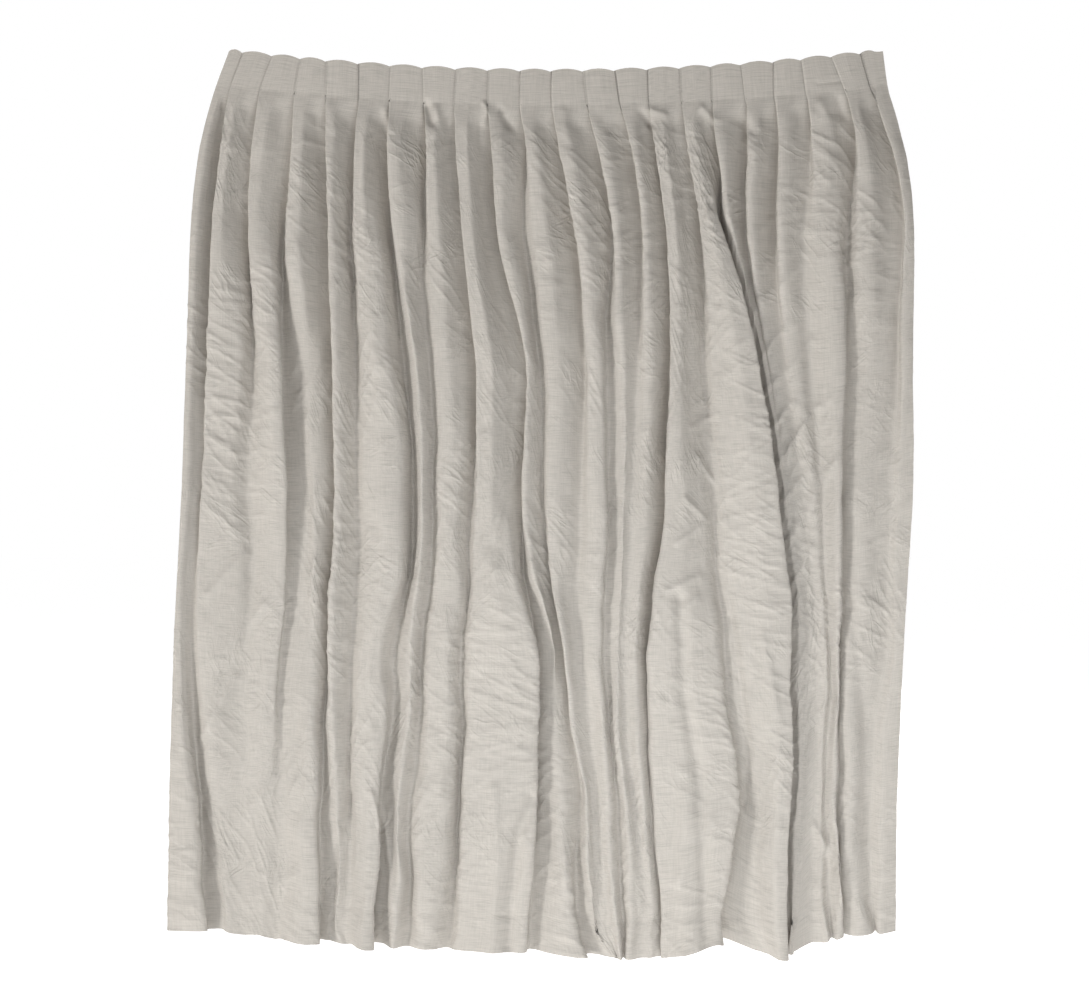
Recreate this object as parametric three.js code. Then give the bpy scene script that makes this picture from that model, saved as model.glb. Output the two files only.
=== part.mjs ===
// A pleated linen room curtain panel, hanging from its heading hooks.
// Millimetres. +X is the viewer's right, -Y faces the room, +Z is up.
// The origin is on the line that the hooks hang from, at the middle of the heading.
import * as THREE from 'three';

// Overall sizes
const HEADING_WIDTH = 1792;
const FINISHED_LENGTH = 2410;
const PLEATS = 22;
const HEADING_DIP = 56; // the ends of the heading stand this much above its middle
const FOLD_DEPTH = 108; // front to back of the open folds, at the foot

// How far each side edge stands out past the end of the heading
const SHOULDER_DROP = 350; // the shoulder is reached this far below the top edge
const SHOULDER_LEFT = 98;
const SHOULDER_RIGHT = 86;
const FOOT_LEFT = 164;
const FOOT_RIGHT = 34;

// Cloth, its hems and what the heading holds
const CLOTH = 1.2;
const SIDE_HEM_WIDTH = 50;
const BOTTOM_HEM_DEPTH = 100;
const HEADING_DEPTH = 94;
const PLEAT_RISE = 8; // front to back of one pressed pleat
const TUCK = 0.88; // share of a pleat, from its fold, at which the cloth tucks under the next
const STIFFENER = 0.8;
const STIFFENER_INSET = 3;
const TAPE = 1.0;
const TAPE_INSET = 10; // from the heading's top edge and from its lower stitch line
const SEAMS = [PLEATS / 3, 2 * PLEATS / 3]; // seam places, counted in pleats from the left
const GAP = 0.3; // between pieces that are sewn together
const HEM_BREAK = 2; // between the end of a side hem and the bands above and below it
const OPEN_ROWS = 7; // rows of the cloth's grid between the heading and the bottom hem

// Hooks
const HOOK_WIRE = 2.5;
const HOOK_MOUTH = 8; // inside the crook, front to back
const HOOK_RETURN = 12; // how far the crook comes down again behind
const HOOK_SHANK = 45;
const HOOK_POINT = 4;
const HOOK_DROP = 40; // from the heading's top edge down to the hook's seat
const HOOK_END_INSET = 0.35; // of a pleat, from each end of the heading
const PLEATS_PER_HOOK = 2;

// Covered weights and the blank label
const WEIGHT = 2.4;
const WEIGHT_WIDTH = 34;
const WEIGHT_HEIGHT = 40;
const WEIGHT_LIFT = 20; // from the bottom fold
const WEIGHT_END_INSET = 24;
const LABEL = 0.4;
const LABEL_WIDTH = 30;
const LABEL_HEIGHT = 60;
const LABEL_LIFT = 260; // from the bottom fold

const LINEN = { color: 0xb9b1a6, roughness: 0.95, metalness: 0 };
const BUCKRAM = { color: 0xe4dfd4, roughness: 0.9, metalness: 0 };
const TAPE_WHITE = { color: 0xe9e6df, roughness: 0.9, metalness: 0 };
const HOOK_NYLON = { color: 0xf2f1ec, roughness: 0.45, metalness: 0 };
const WEIGHT_COVER = { color: 0xdcd6cb, roughness: 0.9, metalness: 0 };
const LABEL_WHITE = { color: 0xf4f2ee, roughness: 0.8, metalness: 0 };

const PITCH = HEADING_WIDTH / PLEATS;
const TAPE_BACK_Y = -(HOOK_MOUTH / 2 + HOOK_WIRE + GAP);
const HEADING_BACK_Y = TAPE_BACK_Y - TAPE - GAP;
const HEADING_FRONT_Y = HEADING_BACK_Y - STIFFENER - GAP - CLOTH;
const FOLDS_MID_Y = HEADING_FRONT_Y - PLEAT_RISE / 2;
const TOP_Z = HOOK_DROP;

const panel = new THREE.Group();

function addMesh(name, geometry, finish) {
  const mesh = new THREE.Mesh(geometry, new THREE.MeshStandardMaterial(finish));
  mesh.name = name;
  panel.add(mesh);
  return mesh;
}

// The top edge of the heading is a shallow curve, lowest in the middle.
function riseAt(x) {
  return HEADING_DIP * (2 * x / HEADING_WIDTH) ** 2;
}

function headingX(pleat) {
  return (pleat / PLEATS - 0.5) * HEADING_WIDTH;
}

// x of a place on the panel, counted in pleats from the left, at a drop below the top edge.
function panelX(pleat, drop) {
  const shoulder = THREE.MathUtils.smoothstep(drop, 0, SHOULDER_DROP);
  const foot = THREE.MathUtils.smoothstep(drop, SHOULDER_DROP, FINISHED_LENGTH);
  const left = SHOULDER_LEFT * shoulder + (FOOT_LEFT - SHOULDER_LEFT) * foot;
  const right = SHOULDER_RIGHT * shoulder + (FOOT_RIGHT - SHOULDER_RIGHT) * foot;
  const across = pleat / PLEATS;
  return headingX(pleat) - left * (1 - across) + right * across;
}

// Front to back place of one pressed knife pleat: 1 at its fold, 0 where it tucks under the next.
function pressedPleat(pleat) {
  const along = pleat - Math.floor(pleat + 1e-9);
  return along <= TUCK ? 1 - along / TUCK : (along - TUCK) / (1 - TUCK);
}

// y of the cloth's front face. Pressed pleats open below the heading into soft folds, two pleats wide.
function frontY(pleat, drop) {
  const pressed = HEADING_FRONT_Y - PLEAT_RISE * pressedPleat(pleat);
  const open = THREE.MathUtils.smoothstep(drop, HEADING_DEPTH, FINISHED_LENGTH * 0.6);
  const wander = 0.5 * Math.sin(1.1 * pleat + 2 * drop / FINISHED_LENGTH);
  const fold = FOLDS_MID_Y - FOLD_DEPTH / 2 * Math.cos(Math.PI * pleat + wander);
  return THREE.MathUtils.lerp(pressed, fold, open);
}

// Every sewn piece follows one grid of places across and drops down, so layers stay parallel.
const sideHemPleats = SIDE_HEM_WIDTH / PITCH;
const weightPleats = WEIGHT_WIDTH / PITCH;
const endInsetPleats = WEIGHT_END_INSET / PITCH;
const labelPleats = LABEL_WIDTH / PITCH;
const halfSeamGap = GAP / 2 / PITCH;

const WEIGHT_STARTS = {
  hem_weight_left: endInsetPleats,
  hem_weight_seam_left: SEAMS[0] - endInsetPleats - weightPleats,
  hem_weight_seam_right: SEAMS[1] - endInsetPleats - weightPleats,
  hem_weight_right: PLEATS - endInsetPleats - weightPleats,
};

const labelStart = (sideHemPleats - labelPleats) / 2;
const hemTop = FINISHED_LENGTH - BOTTOM_HEM_DEPTH;
const weightBottom = FINISHED_LENGTH - WEIGHT_LIFT;
const weightTop = weightBottom - WEIGHT_HEIGHT;
const hemBellyTop = (hemTop + weightTop) / 2;
const labelBottom = FINISHED_LENGTH - LABEL_LIFT;
const labelTop = labelBottom - LABEL_HEIGHT;
const sideHemTop = HEADING_DEPTH + HEM_BREAK;
const sideHemBottom = hemTop - HEM_BREAK;

function sortedUnique(values) {
  const sorted = [...values].sort((a, b) => a - b);
  return sorted.filter((value, i) => i === 0 || value - sorted[i - 1] > 1e-6);
}

function gridPleats() {
  const places = [sideHemPleats, PLEATS - sideHemPleats, labelStart, labelStart + labelPleats];
  for (let pleat = 0; pleat < PLEATS; pleat += 1) {
    places.push(pleat, pleat + TUCK / 2, pleat + TUCK);
  }
  places.push(PLEATS);
  for (const seam of SEAMS) places.push(seam - halfSeamGap, seam + halfSeamGap);
  for (const start of Object.values(WEIGHT_STARTS)) places.push(start, start + weightPleats);
  return sortedUnique(places);
}

function gridDrops() {
  const drops = [0, STIFFENER_INSET, HEADING_DEPTH, sideHemTop, sideHemBottom, hemTop];
  drops.push(hemBellyTop, weightTop, weightBottom, FINISHED_LENGTH, labelTop, labelBottom);
  for (let row = 1; row <= OPEN_ROWS; row += 1) {
    drops.push(THREE.MathUtils.lerp(sideHemTop, sideHemBottom, row / (OPEN_ROWS + 1)));
  }
  return sortedUnique(drops);
}

const PLEAT_GRID = gridPleats();
const DROP_GRID = gridDrops();

// A closed sheet between two places across and two drops, from `front` to `back` millimetres
// behind the cloth's front face. Both distances are functions of the drop.
function sheet(fromPleat, toPleat, fromDrop, toDrop, front, back) {
  const within = (low, high) => (value) => value >= low - 1e-6 && value <= high + 1e-6;
  const pleats = PLEAT_GRID.filter(within(fromPleat, toPleat));
  const drops = DROP_GRID.filter(within(fromDrop, toDrop));
  const columns = pleats.length;
  const rows = drops.length;
  const points = [];
  for (const distance of [front, back]) {
    for (const drop of drops) {
      for (const pleat of pleats) {
        const x = panelX(pleat, drop);
        const z = TOP_Z + riseAt(headingX(pleat)) - drop;
        points.push(x, frontY(pleat, drop) + distance(drop), z);
      }
    }
  }
  const layer = rows * columns;
  const triangles = [];
  const quad = (a, b, c, d) => triangles.push(a, b, c, a, c, d);
  for (let r = 0; r + 1 < rows; r += 1) {
    for (let c = 0; c + 1 < columns; c += 1) {
      const a = r * columns + c;
      const b = a + columns;
      triangles.push(a, b, b + 1, a, b + 1, a + 1);
      triangles.push(layer + a, layer + b + 1, layer + b, layer + a, layer + a + 1, layer + b + 1);
    }
  }
  for (let c = 0; c + 1 < columns; c += 1) {
    const top = c;
    const foot = (rows - 1) * columns + c;
    quad(top, top + 1, layer + top + 1, layer + top);
    quad(foot + 1, foot, layer + foot, layer + foot + 1);
  }
  for (let r = 0; r + 1 < rows; r += 1) {
    const left = r * columns;
    const right = left + columns - 1;
    quad(left + columns, left, layer + left, layer + left + columns);
    quad(right, right + columns, layer + right + columns, layer + right);
  }
  const geometry = new THREE.BufferGeometry();
  geometry.setAttribute('position', new THREE.Float32BufferAttribute(points, 3));
  geometry.setIndex(triangles);
  geometry.computeVertexNormals();
  return geometry;
}

const constant = (value) => () => value;
const SECOND_LAYER = CLOTH + GAP;
const THIRD_LAYER = SECOND_LAYER + CLOTH + GAP;

// The bottom hem bellies out round the weights and meets the cloth at its stitches and its fold.
function hemDistance(drop) {
  const bellied = drop > hemTop + 1e-6 && drop < FINISHED_LENGTH - 1e-6;
  return SECOND_LAYER + (bellied ? WEIGHT + GAP : 0);
}

function addWidths() {
  const edges = [0, ...SEAMS, PLEATS];
  const names = ['left', 'centre', 'right'];
  names.forEach((name, i) => {
    const from = edges[i] + (i > 0 ? halfSeamGap : 0);
    const to = edges[i + 1] - (i + 1 < names.length ? halfSeamGap : 0);
    const cloth = sheet(from, to, 0, FINISHED_LENGTH, constant(0), constant(CLOTH));
    addMesh(`width_${name}`, cloth, LINEN);
    const hemBack = (drop) => hemDistance(drop) + CLOTH;
    const hem = sheet(from, to, hemTop, FINISHED_LENGTH, hemDistance, hemBack);
    addMesh(`bottom_hem_${name}`, hem, LINEN);
  });
}

function addSideHems() {
  const ends = { left: [0, sideHemPleats], right: [PLEATS - sideHemPleats, PLEATS] };
  for (const [name, [from, to]] of Object.entries(ends)) {
    const back = constant(SECOND_LAYER + CLOTH);
    const hem = sheet(from, to, sideHemTop, sideHemBottom, constant(SECOND_LAYER), back);
    addMesh(`side_hem_${name}`, hem, LINEN);
  }
}

function addStiffener() {
  const back = constant(SECOND_LAYER + STIFFENER);
  const band = sheet(0, PLEATS, STIFFENER_INSET, HEADING_DEPTH, constant(SECOND_LAYER), back);
  addMesh('heading_stiffener', band, BUCKRAM);
}

// A flat woven tape behind the pleats, with the heading's own curve.
function addTape() {
  const edge = (pleat, drop) => {
    const x = headingX(pleat);
    return new THREE.Vector2(x, TOP_Z + riseAt(x) - drop);
  };
  const outline = [];
  for (let pleat = 0; pleat <= PLEATS; pleat += 1) {
    outline.push(edge(pleat, TAPE_INSET));
  }
  for (let pleat = PLEATS; pleat >= 0; pleat -= 1) {
    outline.push(edge(pleat, HEADING_DEPTH - TAPE_INSET));
  }
  const shape = new THREE.Shape(outline);
  const tape = new THREE.ExtrudeGeometry(shape, { depth: TAPE, bevelEnabled: false });
  tape.rotateX(Math.PI / 2);
  addMesh('heading_tape', tape, TAPE_WHITE).position.y = TAPE_BACK_Y;
}

// One flat moulded hook, seen from the side: a shank with a point, and a crook with a flat seat.
function hookGeometry() {
  const inner = HOOK_MOUTH / 2;
  const outer = inner + HOOK_WIRE;
  const shape = new THREE.Shape();
  shape.moveTo(-inner, 0);
  shape.lineTo(-inner, -HOOK_SHANK);
  shape.lineTo(-outer, -HOOK_SHANK - HOOK_POINT);
  shape.lineTo(-outer, 0);
  shape.absarc(-inner, 0, HOOK_WIRE, Math.PI, Math.PI / 2, true);
  shape.absarc(inner, 0, HOOK_WIRE, Math.PI / 2, 0, true);
  shape.lineTo(outer, -HOOK_RETURN);
  shape.lineTo(inner, -HOOK_RETURN);
  shape.lineTo(inner, 0);
  shape.closePath();
  const options = { depth: HOOK_WIRE, bevelEnabled: false, curveSegments: 5 };
  const hook = new THREE.ExtrudeGeometry(shape, options);
  hook.translate(0, 0, -HOOK_WIRE / 2);
  const toSide = new THREE.Matrix4().makeBasis(
    new THREE.Vector3(0, 1, 0),
    new THREE.Vector3(0, 0, 1),
    new THREE.Vector3(1, 0, 0),
  );
  return hook.applyMatrix4(toSide);
}

function hookPleats() {
  const places = [HOOK_END_INSET];
  for (let pleat = PLEATS_PER_HOOK; pleat <= PLEATS - PLEATS_PER_HOOK; pleat += PLEATS_PER_HOOK) {
    places.push(pleat);
  }
  places.push(PLEATS - HOOK_END_INSET);
  return places;
}

function addHooks() {
  hookPleats().forEach((pleat, i) => {
    const name = `hook_${String(i + 1).padStart(2, '0')}`;
    const x = headingX(pleat);
    addMesh(name, hookGeometry(), HOOK_NYLON).position.set(x, 0, riseAt(x));
  });
}

function addWeights() {
  for (const [name, start] of Object.entries(WEIGHT_STARTS)) {
    const back = constant(SECOND_LAYER + WEIGHT);
    const end = start + weightPleats;
    const weight = sheet(start, end, weightTop, weightBottom, constant(SECOND_LAYER), back);
    addMesh(name, weight, WEIGHT_COVER);
  }
}

function addLabel() {
  const end = labelStart + labelPleats;
  const back = constant(THIRD_LAYER + LABEL);
  const label = sheet(labelStart, end, labelTop, labelBottom, constant(THIRD_LAYER), back);
  addMesh('care_label', label, LABEL_WHITE);
}

addWidths();
addSideHems();
addStiffener();
addTape();
addHooks();
addWeights();
addLabel();

export default panel;
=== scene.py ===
"""Looks for the pleated linen room curtain panel: cloth, hems, heading tape, hooks, floor and light."""

import math

import bmesh
import bpy
import numpy as np
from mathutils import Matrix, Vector


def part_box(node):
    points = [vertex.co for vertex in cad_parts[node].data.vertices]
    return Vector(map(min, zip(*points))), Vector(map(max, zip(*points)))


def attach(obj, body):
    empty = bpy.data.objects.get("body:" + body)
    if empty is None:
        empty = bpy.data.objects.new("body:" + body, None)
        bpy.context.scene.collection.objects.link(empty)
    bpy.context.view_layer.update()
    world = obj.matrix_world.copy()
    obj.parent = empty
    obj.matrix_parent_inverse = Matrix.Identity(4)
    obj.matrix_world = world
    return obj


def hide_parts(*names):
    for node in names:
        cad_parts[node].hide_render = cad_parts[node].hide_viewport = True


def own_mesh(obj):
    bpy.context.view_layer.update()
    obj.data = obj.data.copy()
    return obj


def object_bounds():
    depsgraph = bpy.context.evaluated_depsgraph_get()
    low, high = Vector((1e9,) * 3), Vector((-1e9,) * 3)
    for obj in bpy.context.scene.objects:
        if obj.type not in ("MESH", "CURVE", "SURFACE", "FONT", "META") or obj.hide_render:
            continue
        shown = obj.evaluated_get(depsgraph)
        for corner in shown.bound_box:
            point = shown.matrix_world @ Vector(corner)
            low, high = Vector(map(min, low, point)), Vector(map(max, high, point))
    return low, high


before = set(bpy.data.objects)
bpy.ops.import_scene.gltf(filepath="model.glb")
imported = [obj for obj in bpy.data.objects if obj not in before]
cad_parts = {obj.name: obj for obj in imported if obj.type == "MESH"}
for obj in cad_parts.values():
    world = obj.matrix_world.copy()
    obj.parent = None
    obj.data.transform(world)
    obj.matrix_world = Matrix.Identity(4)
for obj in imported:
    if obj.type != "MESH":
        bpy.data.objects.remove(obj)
CAD_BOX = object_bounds()
BODY = "panel"

# ---------------------------------------------------------------- sizes, in metres
MM = 0.001
PLEATS = 22
HEADING_WIDTH = 1.792
HEADING_DIP = 0.056
HEADING_DEPTH = 0.094
FINISHED_LENGTH = 2.41
TOP_Z = 0.040
HEM_DEPTH = 0.100
SIDE_HEM_WIDTH = 0.050
WIDTHS = 3  # equal widths of cloth, sewn side to side
FLAT_WIDTH = 3.30  # the whole cut width, side to side
CLOTH = 0.0011
LAYER_GAP = 0.0003  # between two sewn layers
HEADING_Y = -0.0145
PLEAT_PEAK = 0.007  # how far each pleat's top edge rises in its middle

COLUMNS = 594  # a multiple of WIDTHS, so that the seams lie on the grid
ROWS = 440
SETTLE_STEPS = 80

# ---------------------------------------------------------------- how the folds run
# x of each pleat's fold on the heading's top edge, in millimetres from its middle
HEADING_FOLDS = (-858, -778, -700, -630, -542, -454, -366, -275, -187, -99, -14,
                 74, 160, 250, 338, 424, 506, 594, 671, 754, 833)
# Each fold is followed down the panel at these drops below the top edge.
DROPS = (0.12, 0.25, 0.45, 0.80, 1.20, 1.60, 2.05, 2.41)

# x is the fold's edge in millimetres. lean is 1 where the cloth on its right lies on top, -1 where
# the cloth on its left does, and 0 for an open channel. relief is how strongly it stands out. gap
# and lap, where given, replace GAP_MM and LAP_MM below.
FOLDS = [
    dict(x=(-902, -924, -940, -957, -971, -987, -965, -940), lean=(1, 1, 1, 1, 0.8, 0, -0.6, -1),
         relief=(1, 1, 0.9, 0.8, 0.6, 0.5, 0.8, 1)),
    dict(x=(-822, -836, -847, -814, -798, -809, -825, -842), lean=(1, 0.8, 0.6, 0, 0, 0, 0, 0),
         relief=(1, 1, 0.9, 0.6, 0.4, 0.2, 0.1, 0.05)),
    dict(x=(-723, -729, -737, -737, -723, -731, -737, -726), lean=(1, 0.8, 0.3, -0.8, -1, -0.6, 0, 0),
         relief=(0.9, 0.9, 0.9, 0.9, 1, 0.4, 0.12, 0.06)),
    dict(x=(-633, -638, -627, -616, -605, -627, -619, -652), lean=(1, 1, 1, 0.8, 0.6, 0.5, -0.5, -0.8),
         relief=(1, 1, 1, 1, 1, 0.9, 0.9, 0.8)),
    dict(x=(-542, -555, -555, -533, -522, -533, -561, -566), lean=(1, 0.6, 0.2, 0, 0, 0, 0.2, 0),
         relief=(1, 0.9, 0.8, 0.6, 0.5, 0.5, 0.5, 0.4)),
    dict(x=(-459, -467, -451, -385, -369, -407, -457, -495), lean=(1, 1, 0.3, 0, 0, 0, -0.6, -1),
         relief=(1, 1, 1.1, 1.2, 1.2, 0.9, 0.9, 1), gap=(40, 40, 50, 60, 55, 50, 30, 20)),
    dict(x=(-363, -358, -352, -330, -319, -347, -374, -396), lean=(1, 0.5, 0, 0, 0, 0, 0, 0),
         relief=(1, 0.8, 0.7, 0.5, 0.5, 0.65, 0.7, 0.6)),
    dict(x=(-283, -275, -261, -222, -226, -231, -259, -270), lean=(1, 1, 1, 0.8, 0.2, 0, 0.2, 0.2),
         relief=(0.9, 1, 1, 0.9, 0.55, 0.6, 0.75, 0.6)),
    dict(x=(-190, -179, -165, -80, -96, -28, -39, -41), lean=(1, 1, 1, 1, 0.6, -0.8, -0.8, -0.4),
         relief=(0.9, 0.9, 1, 1, 1, 1, 0.9, 0.5)),
    dict(x=(-102, -80, -63, -22, -28, 8, 77, 88), lean=(1, 0.4, 0, 0, 0.3, 1, 0.3, -0.8),
         relief=(1, 0.8, 0.7, 0.6, 0.7, 1, 0.9, 1)),
    dict(x=(-14, 11, 47, 83, 77, 90, 130, 150), lean=(1, 0.9, 0.8, 0.5, 0.2, 0, 0, 0),
         relief=(0.9, 0.9, 0.9, 0.7, 0.45, 0.25, 0.08, 0.05)),
    dict(x=(85, 121, 154, 165, 165, 150, 185, 215), lean=(1, 0.9, 0.6, -0.3, -0.4, -0.3, 0, 0),
         relief=(0.9, 0.9, 0.9, 0.7, 0.6, 0.6, 0.65, 0.6)),
    dict(x=(176, 209, 228, 240, 225, 200, 228, 256), lean=(1, 1, 0.9, 0.2, 0, 0, 0, 0),
         relief=(0.9, 1, 0.9, 0.45, 0.12, 0.06, 0.05, 0.05)),
    dict(x=(253, 272, 297, 311, 283, 250, 268, 297), lean=(1, 0.6, 0.8, 0.6, 0.8, 0.6, 0, 0.9),
         relief=(0.9, 0.8, 0.9, 1.2, 1.2, 0.9, 0.35, 0.7)),
    dict(x=(344, 358, 393, 429, 473, 487, 523, 445), lean=(1, 1, 0.8, 0.2, 0, -0.2, -0.8, -1),
         relief=(1, 1, 1, 0.5, 0.4, 0.5, 0.9, 1), gap=(40, 40, 40, 40, 40, 40, 40, 77)),
    dict(x=(426, 440, 470, 561, 621, 660, 641, 627), lean=(1, 0.8, -0.2, -1, -1, -1, -1, -1),
         relief=(1, 1, 1, 1.2, 1.2, 1.2, 1.1, 1.1), lap=(32, 36, 50, 80, 95, 95, 80, 60),
         gap=(40, 30, 16, 6, 5, 5, 8, 12)),
    dict(x=(520, 512, 503, 575, 650, 695, 675, 660), lean=(1, 1, 0.9, 0.3, 0, 0, 0, 0),
         relief=(1, 1, 0.8, 0.2, 0.04, 0.04, 0.04, 0.04)),
    dict(x=(597, 600, 591, 620, 690, 735, 720, 705), lean=(1, 1, 0.9, 0.3, 0, 0, 0, 0),
         relief=(1, 1, 0.9, 0.2, 0.06, 0.06, 0.06, 0.06)),
    dict(x=(688, 699, 704, 722, 745, 762, 745, 755), lean=(1, 0.6, 0, 0, 0, 0, 0, 0),
         relief=(1, 0.7, 0.4, 0.3, 0.2, 0.2, 0.25, 0.4)),
    dict(x=(800, 822, 825, 819, 803, 790, 785, 806), lean=(1, 0.8, 0.2, -0.5, -0.5, -0.2, -0.2, -0.5),
         relief=(1, 0.9, 0.8, 0.8, 0.8, 0.6, 0.6, 0.8)),
    dict(x=(866, 913, 946, 940, 935, 916, 891, 870), lean=(1, 1, 0.8, 0.5, 0.4, 0.4, 0.3, 0.2),
         relief=(0.9, 0.8, 0.5, 0.35, 0.3, 0.3, 0.4, 0.5)),
]
LEFT_EDGE = (-940, -976, -998, -1009, -1023, -1044, -1056, -1062)
RIGHT_EDGE = (910, 957, 982, 976, 979, 952, 932, 929)
GAP_MM = 36  # width of an open channel
SOFT_GAP = 1.1  # how much wider the shallowest channels are
LAP_MM = 28  # how far an edge covers the cloth behind it
HEADING_LAP_MM = 33
HEADING_GROOVE_MM = 3.5  # between two pressed pleats
STITCH_PULL_MM = 1.1
HEADING_PULL = 0.35  # the heading's stitches pull less, as a share of the hems'
WANDER_TOP_MM = 3.0  # how far a fold's edge strays to either side, under the heading
WANDER_FOOT_MM = 8.0
MIDDLE_SHARE = 0.2  # depth of a lapped fold's shoulder, as a share of its relief
TUCK_SHARE = 0.28  # where the shoulder lies, as a share of the face
CREST_SHARE = 0.10  # how far a face bulges, as a share of its relief
# Where a fold's crest, shoulder and valley lie before its edge on the flat cloth, in pleats
CREST_AT, SHOULDER_AT, VALLEY_AT = 0.68, 0.36, 0.18
LEAN_BLUR = 9  # rows over which a fold's lean and relief change softly

# How far the hem hangs below a straight line, in millimetres, at these places across
HEM_PLACES_MM = (-1060, -930, -700, -350, -60, 90, 200, 290, 350, 440, 540, 640, 700, 780, 930)
HEM_SAG_MM = (-4, -8, 2, -3, 2, 14, 22, 20, 6, -24, 10, 28, 4, -4, 0)

# Depth of the folds, front to back, and how rounded they are, at these drops
RELIEF_DROPS = (0.0, 0.094, 0.115, 0.16, 0.25, 0.45, 0.80, 1.20, 1.60, 2.05, 2.41)
RELIEF_MM = (7, 8, 14, 30, 52, 64, 66, 66, 66, 68, 68)
ROUNDING_MM = (0, 0.5, 1.5, 3.5, 6, 8, 9.5, 10.5, 11.5, 12, 12)


# Single creases, wrinkles and dents. Each runs through places (x, drop), in millimetres. height is
# how far it stands out of the face, or into it where it is negative, and width is how broad it is.
CREASES = [
    # pinches and pockets under the heading's stitch line
    dict(run=((-352, 104), (-338, 150)), height=-13, width=11),
    dict(run=((-330, 112), (-318, 150)), height=6, width=9),
    dict(run=((-196, 92), (-186, 112), (-198, 140)), height=6, width=7),
    dict(run=((-150, 108), (-128, 150)), height=-9, width=9),
    dict(run=((236, 118), (262, 150)), height=-11, width=9),
    dict(run=((262, 112), (300, 128)), height=6, width=7),
    dict(run=((514, 150), (536, 190)), height=-11, width=10),
    dict(run=((716, 68), (782, 66)), height=-3, width=4),
    dict(run=((722, 120), (752, 175), (764, 240)), height=7, width=9),
    dict(run=((770, 110), (792, 165)), height=-7, width=8),
    dict(run=((-620, 120), (-604, 190)), height=5, width=8),
    dict(run=((-470, 118), (-452, 180)), height=6, width=8),
    dict(run=((20, 110), (34, 190)), height=5, width=9),
    dict(run=((118, 112), (140, 170)), height=-6, width=9),
    dict(run=((400, 112), (436, 150)), height=6, width=8),
    # wrinkles on the left faces
    dict(run=((-955, 1230), (-880, 1300)), height=4, width=12),
    dict(run=((-952, 1480), (-850, 1360)), height=6, width=14),
    dict(run=((-930, 1660), (-800, 1500)), height=6, width=18),
    dict(run=((-968, 1870), (-872, 1700)), height=7, width=16),
    dict(run=((-905, 2140), (-770, 1980)), height=5, width=22),
    dict(run=((-845, 2320), (-720, 2230)), height=5, width=18),
    dict(run=((-498, 1990), (-466, 2120), (-446, 2290)), height=8, width=9),
    # the joining seam and its puckers
    dict(run=((388, 640), (404, 860), (432, 1028), (478, 1248), (480, 1523)), height=-3.5, width=4),
    dict(run=((368, 984), (440, 950)), height=5, width=7),
    dict(run=((386, 1064), (432, 1132)), height=5, width=7),
    dict(run=((350, 1176), (414, 1236)), height=5, width=7),
    dict(run=((328, 1296), (402, 1250)), height=6, width=8),
    dict(run=((300, 1424), (392, 1388)), height=6, width=8),
    dict(run=((308, 1506), (384, 1446)), height=5, width=8),
    # diagonal pulls beside the long flap
    dict(run=((520, 545), (592, 430)), height=4, width=12),
    dict(run=((540, 680), (668, 566)), height=5, width=13),
    dict(run=((562, 800), (640, 716)), height=5, width=8),
    dict(run=((575, 886), (630, 850), (700, 770)), height=5, width=10),
    dict(run=((592, 990), (650, 930)), height=6, width=8),
    dict(run=((606, 1094), (720, 950)), height=6, width=12),
    dict(run=((626, 1190), (676, 1140)), height=6, width=8),
    dict(run=((640, 1300), (700, 1210), (760, 1100)), height=5, width=12),
    dict(run=((650, 1420), (700, 1330)), height=5, width=9),
    # low on the right
    dict(run=((484, 1504), (528, 1870), (520, 2030)), height=-10, width=9),
    dict(run=((560, 1560), (600, 1760)), height=6, width=16),
    dict(run=((707, 2090), (762, 2200), (795, 2320)), height=10, width=11),
    dict(run=((184, 1944), (231, 2270)), height=7, width=20),
    dict(run=((20, 2200), (60, 2060)), height=5, width=14),
    dict(run=((-120, 2280), (-60, 2120)), height=6, width=16),
    dict(run=((330, 2200), (420, 2060)), height=6, width=18),
    # broad soft swells and dents in the lower third
    dict(run=((-62, 1990), (-105, 2085), (-121, 2258), (-129, 2398)), height=-15, width=17),
    dict(run=((-172, 1960), (-160, 2150), (-175, 2400)), height=8, width=20),
    dict(run=((336, 1450), (348, 1700), (395, 1960), (404, 2296), (410, 2400)), height=-14, width=19),
    dict(run=((352, 1980), (340, 2180), (352, 2330)), height=7, width=22),
    dict(run=((-300, 1500), (-290, 1760), (-318, 1990)), height=7, width=20),
    dict(run=((-664, 1500), (-690, 1800), (-700, 2050)), height=-7, width=24),
    dict(run=((-560, 2000), (-600, 2180), (-612, 2390)), height=-8, width=18),
    dict(run=((810, 1500), (842, 1800), (850, 2150)), height=-8, width=22),
]


# ---------------------------------------------------------------- small numeric helpers
def gaussian(sigma):
    """How far the weights reach to either side, and the weights, which sum to 1."""
    reach = max(1, int(3 * sigma))
    weights = np.exp(-0.5 * (np.arange(-reach, reach + 1) / sigma) ** 2)
    return reach, weights / weights.sum()


def blur_rows(values, sigma):
    """Gaussian smoothing of each column down the rows; sigma is in rows."""
    reach, weights = gaussian(sigma)
    padded = np.pad(values, [(reach, reach)] + [(0, 0)] * (values.ndim - 1), mode="edge")
    out = np.zeros_like(values)
    for k, weight in enumerate(weights):
        out += weight * padded[k : k + len(values)]
    return out


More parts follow.
